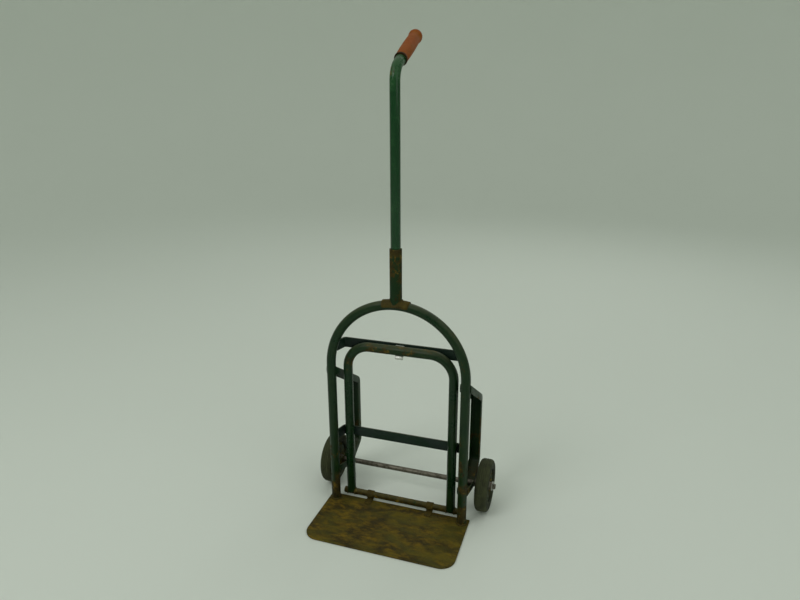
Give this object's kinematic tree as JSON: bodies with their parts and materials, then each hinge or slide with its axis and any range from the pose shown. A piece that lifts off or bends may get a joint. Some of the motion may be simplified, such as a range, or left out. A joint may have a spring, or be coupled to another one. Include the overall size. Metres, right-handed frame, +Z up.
{
  "type": "hand truck",
  "caption": "Hand truck with an arched tube frame on a toe plate, a fold-down load hoop, skids carrying the axle and wheels, and a bent handle in a socket.",
  "frame": {"origin": "on the floor, centred under the part's bounding box", "axes": "+X to the right as seen from the front, +Y to the rear (the side of the wheels and skids), +Z up along the handle"},
  "size_m": [0.5682, 0.3892, 1.3846],
  "materials": {
    "green_enamel": "worn gloss enamel",
    "dark_enamel": "worn satin enamel",
    "worn_enamel": "enamel worn to rust",
    "rim_enamel": "dusty enamel",
    "rusty_plate": "rusted hot-rolled steel",
    "bare_steel": "dull",
    "zinc_steel": "zinc plated",
    "bronze_bush": "oiled",
    "tyre": "dusty solid rubber",
    "grip_plastic": "faded"
  },
  "bodies": {
    "frame": {"toe_plate": "rusty_plate", "outer_frame": "green_enamel", "upper_crossbar": "dark_enamel", "lower_crossbar": "dark_enamel", "left_skid": "green_enamel", "right_skid": "green_enamel", "socket_saddle": "rusty_plate", "socket_tube": "worn_enamel", "socket_nut": "rusty_plate", "hinge_straps": "rusty_plate", "spring_clip": "zinc_steel", "clip_rivet": "zinc_steel", "axle": "bare_steel", "axle_spacers": "bare_steel", "axle_washers": "zinc_steel", "cotter_pins": "zinc_steel"},
    "hoop": {"load_hoop": "green_enamel", "hoop_cross_tube": "green_enamel"},
    "handle": {"handle_tube": "green_enamel", "handle_grip": "grip_plastic"},
    "screw": {"set_screw": "zinc_steel"},
    "left_wheel": {"left_tyre": "tyre", "left_rim_outer": "rim_enamel", "left_rim_inner": "rim_enamel", "left_hub": "bare_steel", "left_bush": "bronze_bush"},
    "right_wheel": {"right_tyre": "tyre", "right_rim_outer": "rim_enamel", "right_rim_inner": "rim_enamel", "right_hub": "bare_steel", "right_bush": "bronze_bush"}
  },
  "joints": [
    {"name": "hoop_fold", "type": "hinge", "parent": "frame", "child": "hoop", "pos_m": [0, 0.03636, 0.0181], "axis": [1, 0, 0], "range_deg": [0, 90]},
    {"name": "handle_lift", "type": "slide", "parent": "frame", "child": "handle", "axis": [0, 0, 1], "range_m": [0, 0.1]},
    {"name": "set_screw_turn", "type": "hinge", "parent": "frame", "child": "screw", "pos_m": [0, 0.02736, 0.782], "axis": [0, 1, 0], "continuous": true},
    {"name": "left_wheel_spin", "type": "hinge", "parent": "frame", "child": "left_wheel", "pos_m": [-0.2513, 0.10936, 0.0795], "axis": [1, 0, 0], "continuous": true},
    {"name": "right_wheel_spin", "type": "hinge", "parent": "frame", "child": "right_wheel", "pos_m": [0.2513, 0.10936, 0.0795], "axis": [1, 0, 0], "continuous": true}
  ]
}
